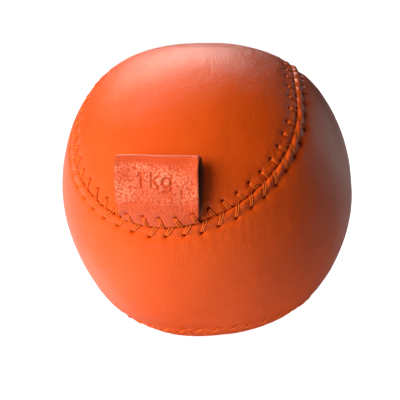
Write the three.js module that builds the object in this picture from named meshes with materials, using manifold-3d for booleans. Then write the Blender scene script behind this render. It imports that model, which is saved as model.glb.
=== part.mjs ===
// Hand-size medicine ball: two figure-eight leather cover panels joined edge to
// edge by one doubled thread (single-needle baseball stitch), a folded leather
// tag sewn into the seam, a felt pad under each panel, a four-gore cloth bag
// with a tied neck, and a granular weight.
// Millimetres, +Z up. Origin: centre of the flat resting patch, on the floor.
import * as THREE from 'three';
import Module from 'manifold-3d';

const { degToRad, clamp } = THREE.MathUtils;
const vec = (x, y, z) => new THREE.Vector3(x, y, z);

// The two sides of the seam: the sign of a distance measured across it.
const CROWN = 1;
const BELLY = -1;

// ---------------------------------------------------------------- dimensions
const BALL_R = 50;           // mean outer radius of the cover
const CENTRE_Z = 47.5;       // less than BALL_R: the foot is squashed flat
const CENTRE = vec(0, 0, CENTRE_Z);
const FOOT_BLEND = 0.8;      // rounding where the foot meets the round cover
const FOOT_SLAB_SIZE = 90;   // block that trims the foot at the floor
const FOOT_SLAB_DEPTH = 20;
const LEATHER = 1.6;         // cover leather thickness

// "_DIST" is a distance across the surface from the seam's centre line.
const SEAM_GAP = 1.2;        // clear gap between the two cut edges
const BAND_DIST = 6;         // the stitched border strip ends here
const RING_DIST = 9.5;       // the panel's inner field starts here
const STITCHES = 100;        // stitches on each side of the seam
const HOLE_DIST = { [CROWN]: 3.1, [BELLY]: 3.3 };
const HOLE_ALONG = 1.5;
const HOLE_ACROSS = 1.1;
const HOLE_START = 0.37503;  // seam fraction of the crown hole at the tag's middle
const SLANT = { [CROWN]: 0.7, [BELLY]: 2.2 };  // each stitch's lean along the seam
const THREAD_W = 0.8;        // two strands side by side
const THREAD_T = 0.45;
const THREAD_CLEAR = 0.25;   // thread to leather

const FIELD_END_CELLS = 8;   // cells across each end of a panel's field
const FIELD_SMOOTHING = 40;  // smoothing passes over the field's grid
const FELT_DIST = 4.9;
const FELT_OUTER_DEPTH = 2.7;
const FELT_INNER_DEPTH = 4.7;

const TAG_W = 25.2;          // tag width along the seam
const TAG_H = 16.5;          // hinge line to fold
const TAG_LAYER = 1.15;      // tag leather thickness
const TAG_ROOT_DIST = 5.9;   // hinge line
const TAG_ROOT_T = 2;        // the two sewn ends pressed together
const TAG_ROOT_GAP = 0.5;    // root's far edge to the hinge line
const TAG_LIFT = 0.3;        // tag root above the cover
const TAG_S = 0.3752;        // seam fraction of the tag's middle
const TAG_HOLES_EACH_WAY = 2;  // holes through the root, either side of the middle one
const TAG_HOLE_CUT = 8;      // length of the block that cuts each hole
const TAG_HOLE_CUT_RISE = 2; // that block's centre above the cover
const TAG_THREAD_EXTRA = 0.25; // added thread clearance above the root
const TAG_LIP_EXTRA = 0.15;    // the same at the root's seam edge

// Bag heights are above the ball's centre, except the floor's, which is below it.
const GORES = 4;
const BAG_R = 42.7;
const BAG_T = 0.6;
const BAG_FLOOR = 42;
const BAG_GAP = 0.4;         // between gores, and round the base disc
const BAG_TOP_LATITUDE = 66; // degrees; the round part of the bag ends here
const BAG_ARC_STEPS = 11;
const SHOULDER_R = 10.5;
const SHOULDER_RISE = 2.3;   // above the neck base
const NECK_R = 4;
const NECK_TOP = 42.4;
const NECK_BASE = 36.2;
const NECK_FLARE = 2.6;      // neck base beyond the neck's radius
const NECK_BEND_RISE = 1.2;
const BASE_DISC_R = 6;
const CORD_R = 0.8;
const CORD_CLEAR = 0.35;
const CORD_HEIGHT = 39.8;
const FILL_CLEAR = 0.4;
const ROUND_SEGMENTS = 24;   // disc, fill and cord

// Gentle unevenness of the hand-filled cover: height of soft bulges evenly
// spaced round one tilted ring. A higher sharpness makes each bulge narrower.
const BULGES = [
  -0.58, -0.74, -0.38, 0.35, 0.38, -0.46, -0.89, -0.27, 0.59, 0.77, 0.16, -0.49,
  -0.71, -0.79, -0.73, -0.12, 0.5, 0.24, -0.34, -0.2, 0.34, 0.35, -0.07, -0.37,
];
const BULGE_SHARPNESS = 14;
const RING_TILT = 10;        // degrees
const RING_LEAN = 6.4;

// Seam: a closed four-lobed space curve on the sphere.
const TURN = vec(-0.30694, 1.14912, 1.85251);  // rotation axis, its length the angle in radians
const WAVE = { xy3: 0.45014, xy5: -0.00987, z2: 0.99038, z6: -0.0519 };  // harmonic weights
// Small hand-made irregularity, x, y, z per row: constant, then cos and sin of each harmonic.
const UNEVEN = [
  [-0.01687, 0.00157, -0.00267],
  [0.00096, -0.011, -0.00133], [0.0131, -0.01082, -0.00182],
  [0.00859, -0.00843, 0.01033], [-0.014, -0.0005, 0.00097],
  [-0.0163, 0.00449, 0.00653], [0.00578, 0.00357, -0.00451],
  [-0.00447, 0.00294, -0.00921], [0.00743, 0.00478, 0.00054],
  [-0.0097, -0.00582, -0.00617], [-0.00883, 0.00562, 0.00458],
];

// ------------------------------------------------------------- small helpers
const wrap = (value, period = 1) => ((value % period) + period) % period;

// Makes a vector square to a unit axis, in place, and of unit length.
const squareTo = (vector, axis) => vector.addScaledVector(axis, -vector.dot(axis)).normalize();

const frameMatrix = (x, y, z, origin) =>
  new THREE.Matrix4().makeBasis(x, y, z).setPosition(origin);

function smoothMax(a, b, blend) {
  const overlap = Math.max(blend - Math.abs(a - b), 0) / blend;
  return Math.max(a, b) + overlap * overlap * blend / 4;
}

// ------------------------------------------------------------- cover surface
const bulgeDirs = BULGES.map((_, i) => {
  const around = degToRad(360 / BULGES.length * i);
  const lean = degToRad(RING_LEAN);
  const tilt = degToRad(RING_TILT);
  const x = Math.cos(around) * Math.cos(lean);
  const y = -Math.sin(lean);
  const z = Math.sin(around) * Math.cos(lean);
  return vec(
    x,
    y * Math.cos(tilt) + z * Math.sin(tilt),
    -y * Math.sin(tilt) + z * Math.cos(tilt));
});

// Point `depth` under the outer surface in direction dir (negative: above it).
function coverPoint(dir, depth, flattenFoot = true) {
  let radius = BALL_R - depth;
  bulgeDirs.forEach((bulge, i) => {
    radius += BULGES[i] * Math.exp(BULGE_SHARPNESS * (dir.dot(bulge) - 1));
  });
  const point = dir.clone().multiplyScalar(radius);
  if (flattenFoot) point.z = smoothMax(point.z, -(CENTRE_Z - depth), FOOT_BLEND);
  return point.add(CENTRE);
}

// ---------------------------------------------------------------------- seam
const turn = new THREE.Quaternion()
  .setFromAxisAngle(TURN.clone().normalize(), TURN.length());

class SeamCurve extends THREE.Curve {
  getPoint(u, target = new THREE.Vector3()) {
    const t = 2 * Math.PI * u;
    target.set(
      Math.cos(t) + WAVE.xy3 * Math.cos(3 * t) + WAVE.xy5 * Math.cos(5 * t),
      Math.sin(t) - WAVE.xy3 * Math.sin(3 * t) + WAVE.xy5 * Math.sin(5 * t),
      WAVE.z2 * Math.sin(2 * t) + WAVE.z6 * Math.sin(6 * t));
    target.normalize().applyQuaternion(turn);
    const weights = [1];
    for (let k = 1; k <= 5; k++) weights.push(Math.cos(k * t), Math.sin(k * t));
    weights.forEach((weight, i) => target.add(vec(...UNEVEN[i]).multiplyScalar(weight)));
    return target.normalize();
  }
}
const seam = new SeamCurve();
seam.arcLengthDivisions = 4000;
const seamLength = seam.getLength() * BALL_R;

// Below, s is a fraction of the seam's length.
const seamDir = (s) => seam.getPointAt(wrap(s));

function seamTangent(s) {
  const step = 2e-4;
  return squareTo(seamDir(s + step).sub(seamDir(s - step)), seamDir(s));
}

// Unit direction at s, `dist` to the crown side (dist > 0) or the belly side.
function dirAt(s, dist) {
  const centre = seamDir(s);
  const across = centre.clone().cross(seamTangent(s));
  return centre.multiplyScalar(Math.cos(dist / BALL_R))
    .addScaledVector(across, Math.sin(dist / BALL_R)).normalize();
}

// Stitch holes; the belly's are shifted so that the slanted stitches alternate evenly.
const BELLY_SHIFT = (SLANT[CROWN] + seamLength / STITCHES / 2 - SLANT[BELLY]) / seamLength;
const holeS = (side, k) => HOLE_START + k / STITCHES + (side === CROWN ? 0 : BELLY_SHIFT);
const betweenHolesS = (side, k) => holeS(side, k) - 0.5 / STITCHES;

// ------------------------------------------------------------- mesh helpers
// Builds a closed mesh, turning its faces outwards if they enclose a negative volume.
function geometryFrom(points, faces) {
  let volume = 0;
  for (const [a, b, c] of faces) {
    volume += points[a].dot(points[b].clone().cross(points[c]));
  }
  const coordinates = points.flatMap((p) => [p.x, p.y, p.z]);
  const geometry = new THREE.BufferGeometry();
  geometry.setAttribute('position', new THREE.Float32BufferAttribute(coordinates, 3));
  geometry.setIndex(faces.flatMap(([a, b, c]) => (volume < 0 ? [a, c, b] : [a, b, c])));
  geometry.computeVertexNormals();
  return geometry;
}

// A sheet with thickness: faces over outer and inner points, walls on every open edge.
function sheet(outer, inner, faces) {
  const n = outer.length;
  const all = [];
  const edges = new Set(faces.flatMap(([a, b, c]) => [`${a},${b}`, `${b},${c}`, `${c},${a}`]));
  for (const [a, b, c] of faces) {
    all.push([a, b, c], [n + a, n + c, n + b]);
    for (const [p, q] of [[a, b], [b, c], [c, a]]) {
      if (!edges.has(`${q},${p}`)) all.push([q, p, n + p], [q, n + p, n + q]);
    }
  }
  return geometryFrom([...outer, ...inner], all);
}

const quad = (faces, a, b, c, d) => faces.push([a, b, c], [a, c, d]);

// A sheet over a rectangular grid of points.
function gridSheet(rows, columns, outerAt, innerAt) {
  const outer = [];
  const inner = [];
  const faces = [];
  for (let i = 0; i < rows; i++) {
    for (let j = 0; j < columns; j++) {
      outer.push(outerAt(i, j));
      inner.push(innerAt(i, j));
      if (i + 1 < rows && j + 1 < columns) {
        const first = i * columns + j;
        quad(faces, first, first + columns, first + columns + 1, first + 1);
      }
    }
  }
  return sheet(outer, inner, faces);
}

// ------------------------------------------------------- booleans (manifold)
const wasm = await Module();
wasm.setup();

// Welds coincident vertices and drops collapsed triangles on the way.
function solidOf(geometry) {
  const { index, attributes: { position } } = geometry;
  const ids = new Map();
  const vertices = [];
  const triangles = [];
  const weld = (i) => {
    const point = [position.getX(i), position.getY(i), position.getZ(i)];
    const key = point.map((x) => Math.round(x * 1e4)).join();
    if (!ids.has(key)) {
      ids.set(key, vertices.length / 3);
      vertices.push(...point);
    }
    return ids.get(key);
  };
  const count = index ? index.count : position.count;
  for (let i = 0; i < count; i += 3) {
    const [a, b, c] = [i, i + 1, i + 2].map((j) => weld(index ? index.getX(j) : j));
    if (a !== b && b !== c && a !== c) triangles.push(a, b, c);
  }
  return new wasm.Manifold(new wasm.Mesh({
    numProp: 3,
    vertProperties: new Float32Array(vertices),
    triVerts: new Uint32Array(triangles),
  }));
}

function geometryOf(solid) {
  const mesh = solid.getMesh();
  const coordinates = [];
  for (let i = 0; i < mesh.numVert; i++) {
    for (let j = 0; j < 3; j++) coordinates.push(mesh.vertProperties[i * mesh.numProp + j]);
  }
  const geometry = new THREE.BufferGeometry();
  geometry.setAttribute('position', new THREE.Float32BufferAttribute(coordinates, 3));
  geometry.setIndex([...mesh.triVerts]);
  geometry.computeVertexNormals();
  return geometry;
}

// Cuts away everything under the floor plane, which leaves a true flat face.
function footCut(geometry) {
  const slab = new THREE.BoxGeometry(FOOT_SLAB_SIZE, FOOT_SLAB_SIZE, FOOT_SLAB_DEPTH)
    .translate(0, 0, -FOOT_SLAB_DEPTH / 2);
  return geometryOf(solidOf(geometry).subtract(solidOf(slab)));
}

// ------------------------------------------------------ inner field of a panel
// Axes for longitude and latitude on the panel at one end (+1 or -1) of the seam's own z axis.
function endAxes(end) {
  const turned = (x, y, z) => vec(x, y, z).normalize().applyQuaternion(turn);
  const centre = turned(0, 0, end);
  return end > 0
    ? { centre, east: turned(-1, 1, 0), north: turned(1, 1, 0) }
    : { centre, east: turned(1, 1, 0), north: turned(-1, 1, 0) };
}

// How far a small step to the crown side goes towards an end, summed round the seam.
function crownGain(end) {
  const { centre } = endAxes(end);
  const samples = 200;
  const stepDist = 8;
  let gain = 0;
  for (let i = 0; i < samples; i++) {
    const s = i / samples;
    gain += Math.max(0, dirAt(s, stepDist).dot(centre) - seamDir(s).dot(centre));
  }
  return gain;
}
const crownEnd = crownGain(-1) > crownGain(1) ? -1 : 1;

const longitude = (dir, axes) => Math.atan2(dir.dot(axes.east), dir.dot(axes.centre));
const latitude = (dir, axes) => Math.asin(clamp(dir.dot(axes.north), -1, 1));

// Loop indices of the field's corners: either side of each end of the figure-eight.
function fieldCorners(loop, axes) {
  const reach = loop.map((dir) => Math.abs(longitude(dir, axes)));
  let tip = 0;
  for (let k = 0; k < loop.length; k++) if (reach[k] > reach[tip]) tip = k;
  const lengthCells = loop.length / 2 - FIELD_END_CELLS;
  const corner = tip - FIELD_END_CELLS / 2;
  return [
    corner - lengthCells,
    corner,
    corner + FIELD_END_CELLS,
    corner + FIELD_END_CELLS + lengthCells,
  ];
}

// Grid of directions filling the loop: a Coons patch in longitude and latitude, then smoothed.
function fieldGrid(loop, [c0, c1, c2, c3], axes) {
  const rows = c1 - c0;
  const columns = c2 - c1;
  const lonLat = loop.map((dir) => [longitude(dir, axes), latitude(dir, axes)]);
  const at = (k) => lonLat[wrap(k, loop.length)];
  const grid = [];
  for (let i = 0; i <= rows; i++) {
    grid.push([]);
    for (let j = 0; j <= columns; j++) {
      const u = i / rows;
      const v = j / columns;
      const blend = [
        [at(c0 + i), 1 - v], [at(c3 - i), v],
        [at(c0 - j), 1 - u], [at(c1 + j), u],
        [at(c0), -(1 - u) * (1 - v)], [at(c1), -u * (1 - v)],
        [at(c2), -u * v], [at(c3), -(1 - u) * v],
      ];
      let lon = 0;
      let lat = 0;
      for (const [point, weight] of blend) {
        lon += point[0] * weight;
        lat += point[1] * weight;
      }
      grid[i].push(axes.centre.clone().multiplyScalar(Math.cos(lon) * Math.cos(lat))
        .addScaledVector(axes.east, Math.sin(lon) * Math.cos(lat))
        .addScaledVector(axes.north, Math.sin(lat)));
    }
  }
  for (let pass = 0; pass < FIELD_SMOOTHING; pass++) {
    for (let i = 1; i < rows; i++) {
      for (let j = 1; j < columns; j++) {
        grid[i][j] = grid[i - 1][j].clone().add(grid[i + 1][j])
          .add(grid[i][j - 1]).add(grid[i][j + 1]).normalize();
      }
    }
  }
  return grid;
}

// Fills the loop of point ids with a grid of quads, adding the inner points to dirs.
function addField(dirs, faces, loopIds, side) {
  const axes = endAxes(side * crownEnd);
  const loop = loopIds.map((id) => dirs[id]);
  const corners = fieldCorners(loop, axes);
  const [c0, c1, c2, c3] = corners;
  const rows = c1 - c0;
  const columns = c2 - c1;
  const loopId = (k) => loopIds[wrap(k, loop.length)];
  const ids = fieldGrid(loop, corners, axes).map((row, i) => row.map((dir, j) => {
    if (j === 0) return loopId(c0 + i);
    if (j === columns) return loopId(c3 - i);
    if (i === 0) return loopId(c0 - j);
    if (i === rows) return loopId(c1 + j);
    return dirs.push(dir) - 1;
  }));
  for (let i = 0; i < rows; i++) {
    for (let j = 0; j < columns; j++) {
      const cell = [ids[i][j], ids[i + 1][j], ids[i + 1][j + 1], ids[i][j + 1]];
      quad(faces, ...(side === CROWN ? cell : cell.reverse()));
    }
  }
}

// ---------------------------------------------------- cover panels, felt pads
function coverPanel(side) {
  const dirs = [];
  const faces = [];
  const edge = [];
  const band = [];
  const ring = [];
  const addDir = (s, dist) => dirs.push(dirAt(s, side * dist)) - 1;
  const facing = (ids) => (side === CROWN ? ids : ids.reverse());
  const addQuad = (...ids) => quad(faces, ...facing(ids));
  const addTriangle = (...ids) => faces.push(facing(ids));

  for (let k = 0; k < STITCHES; k++) {
    const s = betweenHolesS(side, k);
    edge.push(addDir(s, SEAM_GAP / 2));
    band.push(addDir(s, BAND_DIST));
    if (k % 2 === 0) ring.push(addDir(s, RING_DIST));
  }
  // Border strip: four quads round each stitch hole.
  const halfAlong = HOLE_ALONG / 2 / seamLength;
  const near = HOLE_DIST[side] - HOLE_ACROSS / 2;
  const far = HOLE_DIST[side] + HOLE_ACROSS / 2;
  for (let k = 0; k < STITCHES; k++) {
    const s = holeS(side, k);
    const next = (k + 1) % STITCHES;
    const h0 = addDir(s - halfAlong, near);
    const h1 = addDir(s + halfAlong, near);
    const h2 = addDir(s + halfAlong, far);
    const h3 = addDir(s - halfAlong, far);
    addQuad(edge[k], edge[next], h1, h0);
    addQuad(edge[next], band[next], h2, h1);
    addQuad(band[next], band[k], h3, h2);
    addQuad(band[k], edge[k], h0, h3);
  }
  // Two band steps to one ring step.
  for (let m = 0; m < ring.length; m++) {
    const [b0, b1, b2] = [0, 1, 2].map((i) => band[(2 * m + i) % STITCHES]);
    const r0 = ring[m];
    const r1 = ring[(m + 1) % ring.length];
    addTriangle(b0, b1, r0);
    addTriangle(b1, r1, r0);
    addTriangle(b1, b2, r1);
  }
  addField(dirs, faces, ring, side);
  const outer = dirs.map((dir) => coverPoint(dir, 0, false));
  const inner = dirs.map((dir) => coverPoint(dir, LEATHER));
  return footCut(sheet(outer, inner, faces));
}

function feltPad(side) {
  const dirs = [];
  const faces = [];
  for (let k = 0; k < STITCHES; k += 2) {
    dirs.push(dirAt(betweenHolesS(side, k), side * FELT_DIST));
  }
  addField(dirs, faces, [...dirs.keys()], side);
  return sheet(
    dirs.map((dir) => coverPoint(dir, FELT_OUTER_DEPTH)),
    dirs.map((dir) => coverPoint(dir, FELT_INNER_DEPTH)),
    faces);
}

// ---------------------------------------------------------------------- tag
// Frame at the hinge: out from the ball, along the seam, and up the tag, away from the seam.
const tagOut = dirAt(TAG_S, TAG_ROOT_DIST);
const tagAlong = squareTo(seamTangent(TAG_S), tagOut);
const tagUp = tagOut.clone().cross(tagAlong).normalize();
// Middle of the hinge line, level with the root's outer face.
const hinge = coverPoint(tagOut, 0).addScaledVector(tagOut, TAG_LIFT + TAG_ROOT_T);

// Sewn root: ruled from the curved seam edge (v = 0) to a straight edge by the hinge (v = 1).
function rootPoint(along, v, height) {
  const dir = dirAt(TAG_S + along / seamLength, SEAM_GAP / 2);
  const seamEdge = coverPoint(dir, -TAG_LIFT).addScaledVector(dir, height);
  const hingeEdge = hinge.clone()
    .addScaledVector(tagAlong, along)
    .addScaledVector(tagOut, height - TAG_ROOT_T)
    .addScaledVector(tagUp, -TAG_ROOT_GAP);
  return seamEdge.lerp(hingeEdge, v);
}

function tagRoot() {
  const cellsAlong = 12;
  const cellsUp = 2;
  const pointAt = (height) => (i, j) =>
    rootPoint(TAG_W * (i / cellsAlong - 0.5), j / cellsUp, height);
  let solid = solidOf(gridSheet(cellsAlong + 1, cellsUp + 1, pointAt(TAG_ROOT_T), pointAt(0)));
  for (let k = -TAG_HOLES_EACH_WAY; k <= TAG_HOLES_EACH_WAY; k++) {
    const s = holeS(CROWN, k);
    const dir = dirAt(s, HOLE_DIST[CROWN]);
    const along = squareTo(seamTangent(s), dir);
    const origin = coverPoint(dir, -TAG_HOLE_CUT_RISE);
    const cutter = new THREE.BoxGeometry(HOLE_ALONG, HOLE_ACROSS, TAG_HOLE_CUT)
      .applyMatrix4(frameMatrix(along, dir.clone().cross(along), dir, origin));
    solid = solid.subtract(solidOf(cutter));
  }
  return geometryOf(solid);
}

// Middle line of the folded leather, side view: x up the tag, y outwards from the hinge.
const FLAP_LINE = [
  [0.7, -TAG_LAYER / 2], [4, 0], [9, 0.55], [13.5, 0.35], [16.6, -0.45],
  [TAG_H - 0.75, -TAG_LAYER],
  [16.9, -1.75], [13.5, -1.95], [9, -1.95], [4, -1.8], [0.7, -TAG_LAYER * 1.5],
];
// The slot between the two layers, as x.
const FLAP_SLOT = { start: 1.6, end: TAG_H - 2.4, tip: TAG_H - 1.7 };

function tagFlap() {
  const line = new THREE.CatmullRomCurve3(FLAP_LINE.map(([x, y]) => vec(x, y, 0)));
  const steps = 20;
  const half = TAG_LAYER / 2;
  const outside = [];
  const inside = [];
  for (let i = 0; i <= steps; i++) {
    const p = line.getPointAt(i / steps);
    const t = line.getTangentAt(i / steps);
    outside.push(new THREE.Vector2(p.x - t.y * half, p.y + t.x * half));
    inside.push(new THREE.Vector2(p.x + t.y * half, p.y - t.x * half));
  }
  // Both ends finish on the hinge line.
  outside[0].x = 0;
  outside[steps].x = 0;
  const inSlot = (p) => p.x > FLAP_SLOT.start && p.x < FLAP_SLOT.end;
  const slot = [
    ...inside.slice(1, steps / 2).filter(inSlot),
    new THREE.Vector2(FLAP_SLOT.tip, -TAG_LAYER),
    ...inside.slice(steps / 2 + 1, steps).filter(inSlot),
  ];
  const shape = new THREE.Shape(outside);
  shape.holes.push(new THREE.Path(slot.reverse()));
  const flap = new THREE.ExtrudeGeometry(shape, { depth: TAG_W, bevelEnabled: false, steps: 1 })
    .translate(0, 0, -TAG_W / 2)
    .applyMatrix4(frameMatrix(tagUp, tagOut, tagAlong, hinge));
  return geometryOf(solidOf(flap));
}

// ------------------------------------------------------------------- thread
// Height of the tag root's outer face above the cover, in direction dir.
function rootHeight(along, dir) {
  const angleAt = (v) => rootPoint(along, v, 0).sub(CENTRE).angleTo(dir);
  let nearest = 0;
  for (let v = 0; v <= 1; v += 0.02) if (angleAt(v) < angleAt(nearest)) nearest = v;
  return rootPoint(along, nearest, TAG_ROOT_T).sub(coverPoint(dir, 0)).dot(dir);
}

// Each stitch comes up through its hole, crosses to the gap and goes down under the leather.
function threadPath() {
  const path = [];
  const over = THREAD_CLEAR + THREAD_T / 2;
  const under = -(LEATHER + over);
  const addPoint = (s, dist, height) =>
    path.push({ point: coverPoint(dirAt(s, dist), -height), along: seamTangent(s) });
  for (let k = 0; k < STITCHES; k++) {
    for (const side of [CROWN, BELLY]) {
      const s = holeS(side, k);
      const gapS = s + SLANT[side] / seamLength;
      const dist = side * HOLE_DIST[side];
      let top = over;
      let lip = over;
      let fromTag = (s - TAG_S) * seamLength;
      if (fromTag > seamLength / 2) fromTag -= seamLength;
      if (side === CROWN && Math.abs(fromTag) < TAG_W / 2) {
        top = rootHeight(fromTag, dirAt(s, dist)) + over + TAG_THREAD_EXTRA;
        lip = TAG_LIFT + TAG_ROOT_T + over + TAG_LIP_EXTRA;
      }
      addPoint(s, dist, under);
      addPoint(s, dist, top);
      addPoint(gapS, 0, lip);
      addPoint(gapS, 0, under);
    }
  }
  return path;
}

// Flat rectangular section swept along the path, mitred at each corner.
function seamThread() {
  const path = threadPath();
  const points = [];
  const faces = [];
  const last = path.length - 1;
  const legDir = (i) => squareTo(path[i + 1].point.clone().sub(path[i].point), path[i].along);
  path.forEach(({ point, along }, i) => {
    const before = along.clone().cross(legDir(Math.max(i - 1, 0)));
    const after = along.clone().cross(legDir(Math.min(i, last - 1)));
    const mitre = before.clone().add(after)
      .multiplyScalar(THREAD_T / 2 / (1 + Math.max(before.dot(after), -0.5)));
    const halfWidth = along.clone().multiplyScalar(THREAD_W / 2);
    for (const [x, y] of [[1, 1], [-1, 1], [-1, -1], [1, -1]]) {
      points.push(point.clone().addScaledVector(halfWidth, x).addScaledVector(mitre, y));
    }
    if (i === 0) return;
    const here = 4 * i;
    const previous = here - 4;
    for (let j = 0; j < 4; j++) {
      const next = (j + 1) % 4;
      quad(faces, previous + j, previous + next, here + next, here + j);
    }
  });
  quad(faces, 3, 2, 1, 0);
  const end = 4 * last;
  quad(faces, end, end + 1, end + 2, end + 3);
  return geometryFrom(points, faces);
}

// ---------------------------------------------------------------- inner bag
// Profile [radius, height over the centre] from the base disc's edge to the
// neck's mouth, `depth` inside the bag's outer face.
function bagProfile(depth) {
  const radius = BAG_R - depth;
  const floor = BAG_FLOOR - depth;
  const neck = NECK_R - depth;
  const start = Math.atan2(-floor, Math.sqrt(radius * radius - floor * floor));
  const end = degToRad(BAG_TOP_LATITUDE);
  const profile = [[BASE_DISC_R, -floor]];
  for (let i = 0; i <= BAG_ARC_STEPS; i++) {
    const angle = start + (end - start) * i / BAG_ARC_STEPS;
    profile.push([radius * Math.cos(angle), radius * Math.sin(angle)]);
  }
  profile.push(
    [SHOULDER_R, NECK_BASE + SHOULDER_RISE - depth],
    [neck + NECK_FLARE, NECK_BASE - depth],
    [neck, NECK_BASE + NECK_BEND_RISE - depth * 0.4],
    [neck, NECK_TOP]);
  return profile;
}

function gore(k) {
  const outer = bagProfile(0);
  const inner = bagProfile(BAG_T);
  const segments = 6;
  const sector = 2 * Math.PI / GORES;
  const pointOn = (profile) => (i, j) => {
    const [radius, height] = profile[j];
    const gapAngle = Math.asin(BAG_GAP / 2 / radius);
    const angle = sector * k + gapAngle + (sector - 2 * gapAngle) * i / segments;
    return vec(radius * Math.cos(angle), radius * Math.sin(angle), height).add(CENTRE);
  };
  return gridSheet(segments + 1, outer.length, pointOn(outer), pointOn(inner));
}

// Solid of revolution about the vertical axis; heights over the ball's centre.
function revolved(profile) {
  const points = profile.map(([radius, height]) => new THREE.Vector2(radius, height));
  const geometry = new THREE.LatheGeometry(points, ROUND_SEGMENTS)
    .rotateX(Math.PI / 2).translate(0, 0, CENTRE_Z);
  return geometryOf(solidOf(geometry));
}

function baseDisc() {
  const radius = BASE_DISC_R - BAG_GAP;
  const top = -BAG_FLOOR + BAG_T;
  return revolved([[0, -BAG_FLOOR], [radius, -BAG_FLOOR], [radius, top], [0, top]]);
}

// Follows the round part of the bag, with a dished top under the neck.
function weightFill() {
  const wall = bagProfile(BAG_T + FILL_CLEAR).slice(1, BAG_ARC_STEPS + 2);
  const dish = [[9.5, NECK_BASE + 0.4], [6, NECK_BASE - 2.2], [0, NECK_BASE - 2.8]];
  return revolved([[0, wall[0][1]], ...wall, ...dish]);
}

function tieCord() {
  const ringR = NECK_R + CORD_CLEAR + CORD_R;
  const cord = new THREE.TorusGeometry(ringR, CORD_R, 8, ROUND_SEGMENTS)
    .translate(0, 0, CENTRE_Z + CORD_HEIGHT);
  return geometryOf(solidOf(cord));
}

// ------------------------------------------------------------------ assembly
const FINISH = {
  coverLeather: { color: 0xe0561c, roughness: 0.48 },
  tagLeather: { color: 0xdd4f2b, roughness: 0.5 },
  waxedThread: { color: 0xf07a3c, roughness: 0.55 },
  felt: { color: 0xd9d0c2, roughness: 0.95 },
  bagCloth: { color: 0xcfc3ab, roughness: 0.9 },
  cotton: { color: 0xe6dfcf, roughness: 0.85 },
  grains: { color: 0x8b8175, roughness: 0.8 },
};

const ball = new THREE.Group();
function add(name, geometry, finish) {
  const material = new THREE.MeshStandardMaterial({ ...finish, metalness: 0 });
  const mesh = new THREE.Mesh(geometry, material);
  mesh.name = name;
  ball.add(mesh);
}

add('cover_panel_crown', coverPanel(CROWN), FINISH.coverLeather);
add('cover_panel_belly', coverPanel(BELLY), FINISH.coverLeather);
add('seam_thread', seamThread(), FINISH.waxedThread);
add('tag_root', tagRoot(), FINISH.tagLeather);
add('tag_flap', tagFlap(), FINISH.tagLeather);
add('felt_pad_crown', feltPad(CROWN), FINISH.felt);
add('felt_pad_belly', feltPad(BELLY), FINISH.felt);
for (let k = 0; k < GORES; k++) add(`inner_bag_gore_${k + 1}`, gore(k), FINISH.bagCloth);
add('inner_bag_base_disc', baseDisc(), FINISH.bagCloth);
add('bag_tie_cord', tieCord(), FINISH.cotton);
add('weight_fill', weightFill(), FINISH.grains);

export default ball;
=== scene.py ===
# Hand-size leather medicine ball: two leather panels joined by one wandering seam,
# the doubled thread that laces it, and a folded leather tag sewn into the seam.
# The ball rests on the floor (z = 0) with its centre on the z axis; the camera looks
# from -y, with +x to its right. Shapes are in millimetres, made metres as meshes are
# built; the studio is in metres.
import math
from collections import namedtuple
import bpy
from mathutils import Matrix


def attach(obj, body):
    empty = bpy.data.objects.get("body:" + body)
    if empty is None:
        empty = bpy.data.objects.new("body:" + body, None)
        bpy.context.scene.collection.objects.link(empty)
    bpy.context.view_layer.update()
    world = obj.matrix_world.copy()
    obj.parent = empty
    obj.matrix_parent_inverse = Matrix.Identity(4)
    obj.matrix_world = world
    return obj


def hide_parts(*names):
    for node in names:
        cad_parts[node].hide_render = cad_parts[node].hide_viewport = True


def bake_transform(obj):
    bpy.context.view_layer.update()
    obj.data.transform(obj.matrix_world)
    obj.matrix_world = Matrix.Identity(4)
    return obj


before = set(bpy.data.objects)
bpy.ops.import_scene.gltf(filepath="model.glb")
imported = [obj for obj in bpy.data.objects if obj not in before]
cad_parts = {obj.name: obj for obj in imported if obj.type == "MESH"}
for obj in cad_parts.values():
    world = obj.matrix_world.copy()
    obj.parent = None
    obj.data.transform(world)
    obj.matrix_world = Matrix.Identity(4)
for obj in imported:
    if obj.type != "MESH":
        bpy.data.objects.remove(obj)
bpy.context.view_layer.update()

from types import SimpleNamespace

import bpy
import numpy as np
from mathutils import Matrix, Vector

MM = 0.001
rng = np.random.RandomState(11)

# ------------------------------------------------------------------ dimensions
RADIUS = 50.0
CENTRE_Z = 47.5                 # below the radius, so the foot is flattened
CENTRE = np.array([0, 0, CENTRE_Z])
FOOT_BLEND = 0.8                # softness of the edge round the flat foot
LEATHER = 1.6                   # panel thickness
CAMERA_TILT = math.radians(10)

# Swell of the cover in 24 directions, every 15 degrees round a ring facing the camera.
SWELL = np.array([
    -0.58, -0.74, -0.38, 0.35, 0.38, -0.46, -0.89, -0.27, 0.59, 0.77, 0.16, -0.49,
    -0.71, -0.79, -0.73, -0.12, 0.5, 0.24, -0.34, -0.2, 0.34, 0.35, -0.07, -0.37])
SWELL_LEAN = math.radians(6.4)  # of the ring towards the camera
SWELL_FOCUS = 14.0              # higher makes each swell narrower

# The two sides of the seam; distances from it are positive on the crown side.
CROWN, BELLY = 1, -1

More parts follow.
